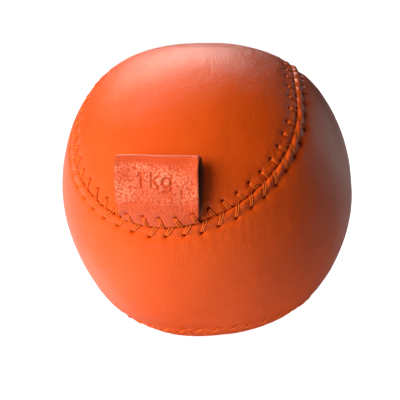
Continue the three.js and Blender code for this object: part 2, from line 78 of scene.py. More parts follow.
# Seam: harmonics of a closed curve, its turn (axis times angle), and its unevenness
# (x, y, z rows for a constant, then the cosine and sine of harmonics 1 to 5).
SEAM_XY3, SEAM_XY5, SEAM_Z2, SEAM_Z6 = 0.45014, -0.00987, 0.99038, -0.0519
SEAM_TURN = np.array([-0.30694, 1.14912, 1.85251])
UNEVEN = np.array([
    [-0.01687, 0.00157, -0.00267], [0.00096, -0.011, -0.00133], [0.0131, -0.01082, -0.00182],
    [0.00859, -0.00843, 0.01033], [-0.014, -0.0005, 0.00097], [-0.0163, 0.00449, 0.00653],
    [0.00578, 0.00357, -0.00451], [-0.00447, 0.00294, -0.00921], [0.00743, 0.00478, 0.00054],
    [-0.0097, -0.00582, -0.00617], [-0.00883, 0.00562, 0.00458]])

# Stitches. Places along the seam are fractions of its length.
STITCHES = 100
FIRST_HOLE = 0.37503
BELLY_SHIFT, BELLY_BACK = 0.7, 2.2      # belly holes: mm on, besides half a pitch, and mm back
HOLE_D = {CROWN: 3.1, BELLY: 3.3}       # from the seam
SLANT = {CROWN: 0.8, BELLY: 2.2}        # along the seam, from hole to seam

# Tag
TAG_S = 0.3752                          # its middle, along the seam
TAG_W, TAG_H = 25.2, 16.5
TAG_LAYER = 1.05                        # thickness of each of its two layers
TAG_ROOT_D, TAG_ROOT_T = 5.9, 2.0       # hinge from the seam, height of the sewn root
TAG_LIFT = 0.3


# --------------------------------------------------------------------- helpers
def unit(v):
    return v / np.linalg.norm(v, axis=-1, keepdims=True)


def dot(a, b):
    return (a * b).sum(-1, keepdims=True)


def bell(x, width):
    return np.exp(-(x / width) ** 2)


def rise(x, centre, width):
    """Soft step from 0 to 1; a negative width steps down instead."""
    return 1 / (1 + np.exp(-(x - centre) / width))


def clip01(x):
    return np.clip(x, 0, 1)


def smooth_max(a, b, blend):
    h = np.maximum(blend - np.abs(a - b), 0) / blend
    return np.maximum(a, b) + h * h * blend / 4


def waves(p, shortest, longest, count, seed):
    """Soft random relief: a fixed sum of plane waves, with wavelengths in mm."""
    g = np.random.RandomState(seed)
    k = unit(g.normal(size=(count, 3))) * (2 * np.pi / g.uniform(shortest, longest, count))[:, None]
    phase = g.uniform(0, 2 * np.pi, count)
    return (np.cos(p @ k.T + phase) / math.sqrt(count / 2)).sum(-1)


# --------------------------------------------------------------- cover surface
def swell_dirs():
    a = np.radians(15.0 * np.arange(24))
    x, z = np.cos(a) * math.cos(SWELL_LEAN), np.sin(a) * math.cos(SWELL_LEAN)
    y = np.full(24, -math.sin(SWELL_LEAN))
    cos_tilt, sin_tilt = math.cos(CAMERA_TILT), math.sin(CAMERA_TILT)
    return np.c_[x, y * cos_tilt + z * sin_tilt, -y * sin_tilt + z * cos_tilt]


SWELL_DIRS = swell_dirs()


def cover(dirs, height=0.0, floor=0.0):
    """Points `height` over the cover's nominal surface, kept at least `floor` above the floor."""
    r = RADIUS + height + np.exp(SWELL_FOCUS * (dirs @ SWELL_DIRS.T - 1)) @ SWELL
    p = dirs * np.asarray(r)[..., None]
    p[..., 2] = smooth_max(p[..., 2], -CENTRE_Z + floor, FOOT_BLEND) + CENTRE_Z
    return p


# ------------------------------------------------------------------------ seam
turn_angle = np.linalg.norm(SEAM_TURN)
TURN = np.array(Matrix.Rotation(turn_angle, 3, Vector(SEAM_TURN / turn_angle)))


def seam_curve(t):
    """Direction of the seam at curve parameter t, 0 to 2 pi."""
    c = np.c_[np.cos(t) + SEAM_XY3 * np.cos(3 * t) + SEAM_XY5 * np.cos(5 * t),
              np.sin(t) - SEAM_XY3 * np.sin(3 * t) + SEAM_XY5 * np.sin(5 * t),
              SEAM_Z2 * np.sin(2 * t) + SEAM_Z6 * np.sin(6 * t)]
    c = unit(c) @ TURN.T
    basis = [np.ones_like(t)]
    for k in range(1, 6):
        basis += [np.cos(k * t), np.sin(k * t)]
    return unit(c + np.array(basis).T @ UNEVEN)


CURVE_T = np.linspace(0, 2 * np.pi, 24001)
curve_steps = np.linalg.norm(np.diff(seam_curve(CURVE_T), axis=0), axis=1)
CURVE_ARC = np.r_[0, np.cumsum(curve_steps)]
SEAM_MM = CURVE_ARC[-1] * RADIUS
PITCH = SEAM_MM / STITCHES


def seam_dir(s):
    t = np.interp(np.mod(s, 1.0) * CURVE_ARC[-1], CURVE_ARC, CURVE_T)
    return seam_curve(t.ravel()).reshape(t.shape + (3,))


def seam_tangent(s):
    c = seam_dir(s)
    t = seam_dir(s + 2e-4) - seam_dir(s - 2e-4)
    return unit(t - c * dot(t, c))


def dir_at(s, d):
    """Direction of the point at fraction s along the seam and d mm aside from it."""
    s, d = np.broadcast_arrays(np.asarray(s, float), np.asarray(d, float))
    c = seam_dir(s)
    aside = np.cross(c, seam_tangent(s))
    return unit(c * np.cos(d / RADIUS)[..., None] + aside * np.sin(d / RADIUS)[..., None])


def wrap_mm(ds):
    return (np.mod(ds + 0.5, 1.0) - 0.5) * SEAM_MM


# -------------------------------------------------------------------- stitches
StitchRow = namedtuple("StitchRow", "start hole_s hole_d entry_s pull")
Marks = namedtuple("Marks", "hole dimple groove between crease entry")


def stitch_row(side):
    """One side's holes, and where each stitch enters the seam."""
    hole_jitter = rng.uniform(-0.22, 0.22, STITCHES) / SEAM_MM
    depth_jitter = rng.uniform(-0.28, 0.28, STITCHES)
    entry_jitter = rng.uniform(-0.3, 0.3, STITCHES) / SEAM_MM
    pull = rng.uniform(0.75, 1.25, STITCHES)
    rng.uniform(0.8, 1.2, STITCHES)     # a spare draw that keeps the later ones in place
    start = FIRST_HOLE
    if side == BELLY:
        start = FIRST_HOLE + (BELLY_SHIFT + PITCH / 2 - BELLY_BACK) / SEAM_MM
    even = start + np.arange(STITCHES) / STITCHES
    return StitchRow(start, even + hole_jitter, HOLE_D[side] + depth_jitter,
                     even + SLANT[side] / SEAM_MM + entry_jitter, pull)


ROWS = {side: stitch_row(side) for side in (CROWN, BELLY)}


def stitch_marks(side, s, d):
    """Strength of each mark left by the nearest stitches, d mm from the seam."""
    row = ROWS[side]
    nearest = np.floor((s - row.start) * STITCHES + 0.5).astype(int)
    shape = np.broadcast(s, d).shape
    hole, dimple, groove, crease, entry, pull = (np.zeros(shape) for _ in range(6))
    for step in (-1, 0, 1):
        k = np.mod(nearest + step, STITCHES)
        from_hole = wrap_mm(s - row.hole_s[k])
        hole_d = row.hole_d[k]
        to_seam = clip01(1 - d / hole_d)
        from_thread = from_hole - (row.entry_s[k] - row.hole_s[k]) * SEAM_MM * to_seam
        r2 = from_hole ** 2 + (d - hole_d - 0.12) ** 2
        strength = row.pull[k]
        on_stitch = rise(d, hole_d, -0.15)
        past_hole = np.exp(-np.maximum(d - hole_d, 0) / 1.6) * (1 - on_stitch)
        hole += np.exp(-r2 / 0.36 ** 2)
        dimple += strength * np.exp(-r2 / 1.15 ** 2)
        groove += on_stitch * bell(from_thread, 0.5)
        pull += strength * bell(from_thread, 1.15)
        crease += bell(from_hole, 0.42) * past_hole
        entry += bell(from_thread, 0.6)
    return Marks(hole, dimple, groove, clip01(1 - pull), crease, entry)


def relief(side, s, d, dirs):
    """Height of the leather over the nominal surface, d mm from the seam."""
    marks = stitch_marks(side, s, d)
    hole_d = HOLE_D[side]
    hole = marks.hole
    x, z = dirs[..., 0] * RADIUS, dirs[..., 2]
    if side == BELLY:
        # the edge stands up as a lip, most towards +x and least at the top
        stand = 0.15 + 0.43 * rise(x, 1, 3.5) + 0.42 * rise(x, 17, 3.5) * rise(z, -0.25, 1 / 12)
        stand = stand * (1 - 0.45 * rise(z, 0.80, 0.04))
        hole = hole * (1.85 - 1.15 * stand)
        lip = ((0.85 + 0.2 * stand) * stand * np.exp(-np.abs((d - 1.2) / 1.15) ** 2.4)
               * (0.12 + 0.88 * marks.between))
        furrow = 0.22 * bell(d - hole_d - 0.1, 1.2)
        sink = 0.58 * (0.2 + 0.8 * stand) * bell(d, 4.6)
        h = lip - furrow - sink
    else:
        # the edge dips to the seam and puffs up a little between the stitches
        puff = 0.28 + 0.14 * rise(x, 17, 3.0) * rise(z, 0.1, 1 / 12)
        sink = 0.50 * (0.8 + 0.2 * rise(x, 0, 4)) * bell(d, 2.5)
        h = -sink + puff * marks.between * bell(d - 1.15, 1.0)
    h = h - 0.20 * marks.groove * bell(np.maximum(0.5 - d, 0), 0.4)
    h = h - 0.24 * marks.dimple - 1.5 * hole - 0.12 * marks.crease
    # fine wrinkles, strongest near the seam
    near = np.exp(-np.maximum(d - 1.0, 0) / 3.5)
    return h + (0.045 * near + 0.012) * waves(dirs * RADIUS, 1.6, 4.5, 40, 5)


def broad(dirs):
    """Wide unevenness of the whole cover."""
    p = dirs * RADIUS
    return 0.10 * waves(p, 14, 40, 30, 3) + 0.02 * waves(p, 6, 12, 30, 4)


# ---------------------------------------------------------------------- meshes
def make(name, verts, faces):
    mesh = bpy.data.meshes.new(name)
    mesh.from_pydata((np.asarray(verts) * MM).tolist(), [], [tuple(map(int, f)) for f in faces])
    mesh.polygons.foreach_set("use_smooth", [True] * len(mesh.polygons))
    mesh.validate()
    mesh.update()
    obj = bpy.data.objects.new(name, mesh)
    bpy.context.scene.collection.objects.link(obj)
    return obj


def set_attribute(obj, name, values):
    attribute = obj.data.attributes.new(name, "FLOAT", "POINT")
    attribute.data.foreach_set("value", values.ravel().astype(np.float32))


def signed_volume(verts, faces):
    """Six times the volume inside triangles or quads; negative when they face inwards."""
    a, b, c = verts[faces[:, 0]], verts[faces[:, 1]], verts[faces[:, 2]]
    volume = (a * np.cross(b, c)).sum()
    if faces.shape[1] == 4:
        volume += (a * np.cross(c, verts[faces[:, 3]])).sum()
    return volume


def grid_quads(ids, flip=False):
    q = np.stack([ids[:-1, :-1], ids[1:, :-1], ids[1:, 1:], ids[:-1, 1:]], -1)
    # two corner quads are turned so that they split from the blunt corner, not into a sliver
    q[-1, 0] = np.roll(q[-1, 0], 1)
    q[0, -1] = np.roll(q[0, -1], 1)
    q = q.reshape(-1, 4)
    return q[:, [0, 3, 2, 1]] if flip else q


# ---------------------------------------------------------------------- panels
PER_STITCH = 12         # samples along the seam
RELAX_ROUNDS = 160
AROUND = STITCHES * PER_STITCH
# rows of the outer face, mm from the seam
OUTER_D = [9.5, 8.6, 7.8, 7.1, 6.5, 6.0, 5.55, 5.15, 4.8, 4.5, 4.2, 3.95, 3.7, 3.45, 3.2, 2.95,
           2.7, 2.45, 2.15, 1.85, 1.6, 1.35, 1.1, 0.88, 0.68, 0.5, 0.34, 0.2]
# rows down the cut edge: mm from the seam, height
RIM = [(0.10, -0.35), (0.05, -0.7), (0.06, -1.1), (0.14, -1.45), (0.35, -LEATHER)]
# rows of the inner face, mm from the seam
INNER_D = [1.2, 3.2, 6.0, 9.5]
FIELD_D = 10.4                          # where the half-density grid takes over
# a stand-in place away from the seam, where the stitches leave no marks
FAR_S, FAR_D = 0.123, 60.0
# before the seam's turn: each panel's centre, long way and short way
PANEL_AXES = {CROWN: ((0, 0, 1), (-1, 1, 0), (1, 1, 0)),
              BELLY: ((0, 0, -1), (1, 1, 0), (-1, 1, 0))}


def field(loop, side):
    """Relaxed grid of directions inside a closed loop, and the loop indices on its border."""
    middle, long_way, short_way = (unit(np.array(v, float)) @ TURN.T for v in PANEL_AXES[side])
    n = len(loop)
    lon = np.arctan2(loop @ long_way, loop @ middle)
    lat = np.arcsin(np.clip(loop @ short_way, -1, 1))
    across = int(round(n * 0.16))
    across += across % 2
    along = n // 2 - across
    corner1 = int(np.argmax(np.abs(lon))) - across // 2
    corner0 = corner1 - along
    corner2 = corner1 + across
    corner3 = corner2 + along
    i, j = np.arange(along + 1), np.arange(across + 1)
    side_a, side_b = np.mod(corner0 + i, n), np.mod(corner3 - i, n)
    end_a, end_b = np.mod(corner0 - j, n), np.mod(corner1 + j, n)
    # first guess: the border angles blended across the grid
    angles = np.c_[lon, lat]
    at0, at1, at2, at3 = angles[np.mod([corner0, corner1, corner2, corner3], n)]
    u, v = (i / along)[:, None, None], (j / across)[None, :, None]
    blend = (angles[side_a][:, None] * (1 - v) + angles[side_b][:, None] * v
             + angles[end_a][None] * (1 - u) + angles[end_b][None] * u
             - at0 * (1 - u) * (1 - v) - at1 * u * (1 - v) - at2 * u * v - at3 * (1 - u) * v)
    p, q = blend[..., 0], blend[..., 1]
    dirs = ((np.cos(p) * np.cos(q))[..., None] * middle
            + (np.sin(p) * np.cos(q))[..., None] * long_way + np.sin(q)[..., None] * short_way)
    border = np.zeros((along + 1, across + 1), int)
    for edge, ids in ((np.s_[:, 0], side_a), (np.s_[:, -1], side_b),
                      (np.s_[0, :], end_a), (np.s_[-1, :], end_b)):
        border[edge] = ids
        dirs[edge] = loop[ids]
    for _ in range(RELAX_ROUNDS):
        dirs[1:-1, 1:-1] = unit(dirs[:-2, 1:-1] + dirs[2:, 1:-1]
                                + dirs[1:-1, :-2] + dirs[1:-1, 2:])
    # where the loop is hollow the relaxed grid crosses it, so the outer rows are laid
    # evenly in from the loop
    k = 8
    f = (np.arange(1, k) / k)[None, :, None]
    dirs[1:-1, 1:k] = unit(dirs[1:-1, :1] * (1 - f) + dirs[1:-1, k:k + 1] * f)
    dirs[1:-1, -k:-1] = unit(dirs[1:-1, -k - 1:-k] * (1 - f) + dirs[1:-1, -1:] * f)
    return dirs, border


def border_rows(side, s):
    """Rows round the panel's border, over its edge and under, and the outer rows' painted shade in
    the stitch holes.
    """
    at_seam = np.zeros(AROUND)
    own = stitch_marks(side, s, at_seam).entry
    other = stitch_marks(-side, s, at_seam).entry
    # the cut edge is drawn back by its own stitches and pushed out between them
    edge_d = 0.04 + 0.24 * own - 0.16 * other
    rows, hole_shade = [], []
    for row_d in OUTER_D:
        d = row_d + edge_d * np.exp(-row_d / 0.7)
        dirs = dir_at(s, side * d)
        height = relief(side, s, d, dirs) + broad(dirs)
        height = height - 0.27 * bell(row_d - 0.1, 0.24) * (1 - 0.3 * own)
        rows.append(cover(dirs, height))
        # painted shade in the stitch holes
        hole_shade.append(clip01(1.15 * stitch_marks(side, s, d).hole - 0.1))
    top_d, top = RIM[0]
    bottom = RIM[-1][1]
    d = top_d + edge_d
    dirs = dir_at(s, side * d)
    edge_height = relief(side, s, d, dirs) + broad(dirs) - 0.38
    for row_d, level in RIM:
        f = (level - top) / (bottom - top)
        height = edge_height * (1 - f) - LEATHER * f - 0.12 * (1 - f)
        rows.append(cover(dir_at(s, side * (row_d + edge_d)), height, floor=0.2))
    for row_d in INNER_D:
        rows.append(cover(dir_at(s, side * row_d), -LEATHER, floor=LEATHER))
    return rows, np.concatenate(hole_shade)


def panel(side, name):
    s = ROWS[side].start + np.arange(AROUND) / AROUND
    rows, hole_shade = border_rows(side, s)
    row_ids = np.arange(len(rows) * AROUND).reshape(-1, AROUND)
    quads = [np.stack([a, np.roll(a, -1), np.roll(b, -1), b], -1)
             for a, b in zip(row_ids[:-1], row_ids[1:])]
    tris = []
    verts = list(rows)

    loop = dir_at(s[::2], side * FIELD_D)
    dirs, border = field(loop, side)
    inside = dirs[1:-1, 1:-1]

    def outer_face(q):
        far = q.shape[:-1]
        return cover(q, relief(side, np.full(far, FAR_S), np.full(far, FAR_D), q) + broad(q))

    def inner_face(q):
        return cover(q, -LEATHER, floor=LEATHER)

    start = row_ids.size
    for row, face, is_outer in ((row_ids[0], outer_face, True),
                                (row_ids[-1], inner_face, False)):
        verts += [face(loop), face(inside.reshape(-1, 3))]
        ring = np.arange(start, start + len(loop))
        start += len(loop)
        ids = ring[border]
        ids[1:-1, 1:-1] = start + np.arange(inside[..., 0].size).reshape(inside.shape[:2])
        start += inside[..., 0].size
        # transition ring: two border cells to one field cell
        ring_next = np.roll(ring, -1)
        b0, b1, b2 = row[0::2], row[1::2], np.roll(row, -2)[0::2]
        t = np.concatenate([np.stack([b0, ring, b1], -1), np.stack([b1, ring, ring_next], -1),
                            np.stack([b1, ring_next, b2], -1)])
        tris.append(t if is_outer else t[:, ::-1])
        quads.append(grid_quads(ids, flip=is_outer))
    verts, quads, tris = (np.concatenate(part) for part in (verts, quads, tris))
    if signed_volume(verts - CENTRE, quads) + signed_volume(verts - CENTRE, tris) < 0:
        quads, tris = quads[:, ::-1], tris[:, ::-1]
    obj = make(name, verts, [*quads.tolist(), *tris.tolist()])
    # painted shade: the stitch holes are tinted dark where shade falls in them
    flesh_and_shade = np.zeros(len(verts))
    flesh_and_shade[:len(hole_shade)] = hole_shade
    set_attribute(obj, "flesh_and_shade", flesh_and_shade)
    return obj


# ------------------------------------------------------------------------- tag
# Its frame: outward at the root, along the seam, and up the tag away from the seam.
tag_out = dir_at(TAG_S, TAG_ROOT_D).reshape(3)
tag_x = seam_tangent(np.array([TAG_S])).reshape(3)
tag_x = unit(tag_x - tag_out * (tag_x @ tag_out))
tag_up = unit(np.cross(tag_out, tag_x))
hinge = cover(tag_out[None])[0] + tag_out * (TAG_LIFT + TAG_ROOT_T)

TAG_COLUMNS, TAG_ROWS = ((126, 300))
# middle of the strip from the hinge up the front, over the fold and down the back:
# mm up the tag, mm outward
FLAP_PATH = [
    (0.0, -TAG_LAYER / 2), (4, 0.05), (8.2, 0.6), (12.0, 0.42), (TAG_H - 1.9, -0.35),
    (TAG_H - 0.72, -1.0), (TAG_H - 1.5, -1.62), (12.0, -1.95), (8.2, -1.92), (4, -1.75),
    (0.0, -TAG_LAYER * 1.5)]
FLAP_SAMPLES = 400
# x at the hinge, lean, lower and upper end above the hinge, depth, width
TAG_WRINKLES = (
    (7.4, 0.02, -2, 9.5, 0.16, 0.32), (8.6, -0.03, -1, 7.5, 0.14, 0.3),
    (9.8, 0.03, -3, 11.5, 0.15, 0.34), (6.0, -0.05, -1, 4.5, 0.10, 0.28),
    (-9.9, 0.04, -3.5, 3.5, 0.15, 0.35), (-8.3, -0.02, -2.5, 1.8, 0.1, 0.3),
    (-2.8, 0.03, -2.5, 1.2, 0.08, 0.3), (3.1, -0.04, -2.5, 2.0, 0.08, 0.3))
WRINKLE_STRENGTH = 0.62
MARK_X, MARK_UP, MARK_SCALE = -0.6, 8.9, 1.25
# straight strokes of the "1" and the "k"
MARK_STROKES = (((-4.3, 0.9), (-3.5, 1.7)), ((-3.5, 1.7), (-3.5, -1.7)),
                ((-0.9, 1.7), (-0.9, -1.7)), ((-0.9, -0.35), (0.75, 0.95)),
                ((-0.35, 0.1), (0.85, -1.7)))


def catmull(points, n):
    """Even samples along a smooth curve through the points, and its length."""
    p = np.array(points, float)
    p = np.vstack([2 * p[0] - p[1], p, 2 * p[-1] - p[-2]])
    spans = []
    for i in range(1, len(p) - 2):
        t = np.linspace(0, 1, 60, endpoint=False)[:, None]
        a, b, c, d = p[i - 1:i + 3]
        spans.append(0.5 * (2 * b + (c - a) * t + (2 * a - 5 * b + 4 * c - d) * t ** 2
                            + (3 * b - a - 3 * c + d) * t ** 3))
    curve = np.vstack([*spans, p[-2][None]])
    arc = np.r_[0, np.cumsum(np.linalg.norm(np.diff(curve, axis=0), axis=1))]
    even = np.linspace(0, arc[-1], n)
    return np.stack([np.interp(even, arc, column) for column in curve.T], -1), arc[-1]


def cells(x, y, size, seed):
    """Distance to the nearest and second nearest of a jittered grid of points."""
    g = np.random.RandomState(seed)
    nx = int((x.max() - x.min()) / size) + 5
    ny = int((y.max() - y.min()) / size) + 5
    jitter_x, jitter_y = g.uniform(0, 1, (nx, ny)), g.uniform(0, 1, (nx, ny))
    gx, gy = (x - x.min()) / size + 2, (y - y.min()) / size + 2
    first, second = np.full(x.shape, 9.0), np.full(x.shape, 9.0)
    for di in (-1, 0, 1):
        for dj in (-1, 0, 1):
            ix, iy = np.floor(gx).astype(int) + di, np.floor(gy).astype(int) + dj
            cell = np.clip(ix, 0, nx - 1), np.clip(iy, 0, ny - 1)
            dist = np.hypot(gx - ix - jitter_x[cell], gy - iy - jitter_y[cell])
            second = np.minimum(second, np.maximum(first, dist))
            first = np.minimum(first, dist)
    return first, second


def segment_distance(x, y, a, b):
    a, b = np.array(a, float), np.array(b, float)
    ab = b - a
    t = clip01(((x - a[0]) * ab[0] + (y - a[1]) * ab[1]) / (ab @ ab))
    return np.hypot(x - a[0] - t * ab[0], y - a[1] - t * ab[1])


def mark_distance(x, y):
    """Distance to the strokes of '1 kg', 3.4 mm tall with its origin at the centre."""
    d = np.full(x.shape, 9.0)
    for a, b in MARK_STROKES:
        d = np.minimum(d, segment_distance(x, y, a, b))
    # the "g": bowl, stem and open hook below
    bowl_x, bowl_y, r, hook_y = 3.0, -0.45, 1.05, -1.75
    d = np.minimum(d, np.abs(np.hypot(x - bowl_x, y - bowl_y) - r))
    d = np.minimum(d, segment_distance(x, y, (bowl_x + r, 0.75), (bowl_x + r, hook_y)))
    angle = np.arctan2(y - hook_y, x - bowl_x)
    hook = (angle < 0) & (angle > -2.6)
    return np.minimum(d, np.where(hook, np.abs(np.hypot(x - bowl_x, y - hook_y) - r), 9.0))


def tag_layout():
    """Grid over the strip, from the seam up the front, over the fold and back to the seam."""
    flap, flap_length = catmull(FLAP_PATH, FLAP_SAMPLES)
    root_length = TAG_ROOT_D - 0.4
    total = flap_length + 2 * root_length
    along, across = np.meshgrid(np.linspace(0, total, TAG_ROWS),
                                np.linspace(-1, 1, TAG_COLUMNS), indexing="ij")
    front_root = along < root_length
    back_root = along > root_length + flap_length
    root = front_root | back_root
    # 0 at the seam, 1 from the hinge on
    free = np.where(front_root, along / root_length,
                    np.where(back_root, (total - along) / root_length, 1.0))
    eased = free * free * (3 - 2 * free)
    flap_share = clip01((along - root_length) / flap_length)
    samples = np.linspace(0, 1, FLAP_SAMPLES)
    up, out = (np.interp(flap_share, samples, flap[:, k]) for k in (0, 1))
    thick = np.where(root, 0.48 + (TAG_LAYER - 0.48) * eased, TAG_LAYER)
    # the root narrows to the seam, but flares on its -x side; the flap widens upwards
    flare = 0.055 * (1 - eased) * clip01(-across) ** 2
    width = (TAG_W / 2) * np.where(root, 0.935 + 0.065 * eased + flare, 1 + 0.018 * up / TAG_H)
    x = across * width * np.where(across < 0, 1.062, 1)
    # the back layer is cut a little wider on one side and shows beyond the front layer
    behind = clip01((flap_share - 0.5) / 0.12)
    x = x + (np.where(across > 0, 0.75, 0.1) * np.abs(across) ** 6 * behind * np.sign(across)
             * np.where(root, eased, 1))
    # the side edges wander
    wander = waves(np.stack([along, across * 0, across * 0], -1), 5, 14, 10, 31)
    x = x + 0.10 * wander * np.abs(across) ** 4 * np.sign(across)
    above_hinge = along - root_length
    return SimpleNamespace(
        along=along, across=across, total=total, x=x, up=up, out=out, free=free, root=root,
        front_root=front_root, flap_share=flap_share, thick=thick, width=width,
        above_hinge=above_hinge, below_fold=(TAG_H - 0.2) - above_hinge,
        front=flap_share < 0.5, points=np.stack([x, along, x * 0], -1))


def tag_middle(lay):
    """Middle surface of the strip."""
    seam_side = dir_at(TAG_S + lay.x / SEAM_MM, 0.16)
    height = 0.12 + np.where(lay.front_root, 1.5, 0.5) * lay.thick
    at_seam = cover(seam_side, -0.50) + seam_side * height[..., None]
    along_hinge = hinge + lay.x[..., None] * tag_x
    root_out = np.where(lay.front_root, -TAG_LAYER / 2, -TAG_LAYER * 1.5)
    at_hinge = along_hinge + root_out[..., None] * tag_out
    flap = along_hinge + lay.up[..., None] * tag_up + lay.out[..., None] * tag_out
    free = lay.free[..., None]
    middle = np.where(lay.root[..., None], at_seam * (1 - free) + at_hinge * free, flap)
    # the flap is wavy; its front layer curls at the sides, most on the +x side
    front_layer = lay.out > -1.0
    lift = (0.22 * np.sin(lay.x * 0.34 + 0.8) * clip01(lay.up / 6)
            + 0.25 * np.abs(lay.across) ** 3 * clip01((lay.up - 3) / 8) * front_layer
            + 0.45 * clip01(lay.across) ** 4 * clip01(lay.up / 5)
            * clip01((TAG_H - 0.5 - lay.up) / 3) * front_layer)
    return middle + lift[..., None] * tag_out


def tag_normals(middle):
    normal = unit(np.cross(np.gradient(middle, axis=1), np.gradient(middle, axis=0)))
    for _ in range(2):
        normal[1:-1] = unit(normal[:-2] + normal[1:-1] * 2 + normal[2:])
    if (normal[TAG_ROWS // 4, TAG_COLUMNS // 2] @ tag_out) < 0:
        normal = -normal
    return normal


def tag_relief(lay, middle):
    """Relief of the outer face, its pebbles alone, and how far the mark is pressed in."""
    x, y, up, top = lay.x, lay.along, lay.above_hinge, lay.below_fold
    first, second = cells(x + 0.3 * np.sin(y * 1.3), y + 0.25 * np.sin(x * 1.1 + 1), 0.95, 21)
    small, _ = cells(x + 40, y * 1.1, 0.55, 22)
    pebble = (0.75 * (1 - clip01(first / 0.8) ** 2) + 0.25 * clip01((second - first) / 0.3)
              + 0.25 * (1 - clip01(small / 0.8) ** 2) - 0.7)
    pebble_height = ((0.15 + 0.03 * waves(lay.points, 5, 12, 12, 33))
                     * np.clip((up + 2.5) / 7.5, 0.4, 1))
    # the grain is calmer at the fold and round the mark
    upper = lay.flap_share < 0.55
    calm = np.where(upper, np.clip((top - 0.7) / 1.6, 0.08, 1), 1)
    mark = mark_distance((x - MARK_X) / MARK_SCALE, (up - MARK_UP) / MARK_SCALE) * MARK_SCALE
    calm = calm * (1 - 0.75 * bell(mark, 0.75) * lay.front)
    out = calm * (pebble_height * pebble + 0.05 * waves(lay.points, 3, 9, 30, 34))
    # wrinkles running up from the root, each with a ridge beside it
    wobble = waves(lay.points, 1.5, 5, 20, 37)
    for x0, lean, low, high, depth, width in TAG_WRINKLES:
        extent = rise(up, low, 0.7) * rise(up, high, -1.2)
        aside = x - (x0 + lean * up + 0.18 * np.sin(up * 0.9 + x0) + 0.22 * wobble)
        profile = bell(aside, width) - 0.55 * bell(aside - 2.2 * width, 1.2 * width)
        out = out - WRINKLE_STRENGTH * depth * (1 + 0.4 * wobble) * extent * profile * lay.front
    # a ridge at the fold and a hollow below it
    out = out + upper * (0.16 * bell(top - 0.55, 0.5) - 0.14 * bell(top - 2.1, 0.9))
    # stitches press into the sewn root
    s = TAG_S + x / SEAM_MM
    cosine = (unit(middle - CENTRE) * dir_at(s, 0.0)).sum(-1)
    d = np.arccos(np.clip(cosine, -1, 1)) * RADIUS
    marks = stitch_marks(CROWN, s, d)
    sewn = lay.front_root & (lay.free < 0.98)
    out = out + sewn * (-0.22 * marks.dimple - 0.7 * marks.hole - 0.1 * marks.groove
                        + 0.12 * marks.between * bell(d - 1.3, 1.2))
    # the mark, pressed into the front with a faint raised border
    press = rise(mark, 0.34, -0.06)
    on_flap = lay.front & ~lay.front_root
    out = out - 0.34 * press * on_flap + 0.04 * bell(mark - 0.5, 0.16) * on_flap
    return out, pebble, press


def rounded(share, least):
    """Quarter-round profile from `least` at an edge to 1."""
    return np.sqrt(clip01(1 - (1 - share) ** 2)) * (1 - least) + least


def tag_piece():
    """The tag, and the top of its sewn root relative to the ball's centre."""
    lay = tag_layout()
    middle = tag_middle(lay)
    normal = tag_normals(middle)
    out, pebble, press = tag_relief(lay, middle)
    edge = clip01((1 - np.abs(lay.across)) * lay.width / 0.42)
    end = clip01(np.minimum(lay.along, lay.total - lay.along) / 0.35)
    half = lay.thick / 2 * (rounded(edge, 0.38) * rounded(end, 0.4))
    rough = 0.05 * waves(lay.points, 0.7, 2.0, 40, 35)
    outer = middle + normal * (half + out * edge)[..., None]
    inner = middle - normal * (half + rough * edge * 0.6)[..., None]

    count = TAG_ROWS * TAG_COLUMNS
    ids = np.arange(count).reshape(TAG_ROWS, TAG_COLUMNS)
    quads = [grid_quads(ids), grid_quads(ids + count, flip=True)]
    for e in (ids[:, 0], ids[::-1, -1], ids[-1, :], ids[0, ::-1]):
        quads.append(np.stack([e[:-1], e[1:], e[1:] + count, e[:-1] + count], -1))
    verts = np.concatenate([outer.reshape(-1, 3), inner.reshape(-1, 3)])
    quads = np.concatenate(quads)
    if signed_volume(verts - hinge, quads) < 0:
        quads = quads[:, ::-1]
    obj = make("tag", verts, quads.tolist())

    # painted highlight: pale pebble tops stand in for glints, fading at the root and fold, towards
    # +x and patchy between
    patches = clip01(0.75 + 0.35 * waves(lay.points, 6, 14, 12, 36) - 0.02 * lay.x)
    shine = (clip01(pebble * 2.1 + 0.05) * np.clip((lay.above_hinge - 0.5) / 4, 0.12, 1)
             * clip01((lay.below_fold - 1.8) / 1.5))
    shine = shine * patches * (1 - press) * (lay.flap_share < 0.6)
    set_attribute(obj, "pebble_glints", np.stack([shine, np.zeros_like(shine)]))
    # darker flesh tint on the cut edges and the whole inner face: the leather's own darker flesh
    # side and cut edges, painted darker still as shade inside the fold
    cut_edge_and_shade = clip01(1 - edge * 1.6) * 0.85
    set_attribute(obj, "flesh_and_shade", np.stack([cut_edge_and_shade, np.ones_like(shine)]))
    return obj, outer[lay.front_root] - CENTRE


# ---------------------------------------------------------------------- thread
THREAD_R = 0.24
THREAD_APART = 0.37                     # strand centre from the middle of the pair
THREAD_SIDES = 8
# one stitch: share of the way from hole to seam, and lift over the leather; the two
# end lifts are over the nominal surface
THREAD_PATH = np.array([
    (0, -2.05), (0, -1.5), (0, -0.7), (0.06, -0.12), (0.14, 0.06), (0.26, 0.12), (0.4, 0.15),
    (0.54, 0.15), (0.68, 0.13), (0.8, 0.10), (0.9, 0.04), (0.97, -0.12), (1.0, -0.5),
    (1.0, -1.2), (1.0, -2.05)])


def over_tag(height, share, lift, dirs, root_top):
    """Lift a stitch clear of the tag's sewn root."""
    top_r = np.linalg.norm(root_top, axis=1)
    nearest = np.argsort(-(dirs @ (root_top / top_r[:, None]).T), axis=1)[:, :6]
    top = top_r[nearest].max(1) - np.linalg.norm(cover(dirs) - CENTRE, axis=1)
    clear = top + THREAD_R * 0.75 + 0.03 + np.minimum(lift, 0) * 0.2
    exposed = (share > 0.03) & (share < 0.98)
    height = np.where(exposed, np.maximum(height, clear), height)
    # the dives into the hole and the seam start under the root's surface
    height[2] = top[3] - 0.35
    height[12] = top[10] - 0.5
    return height


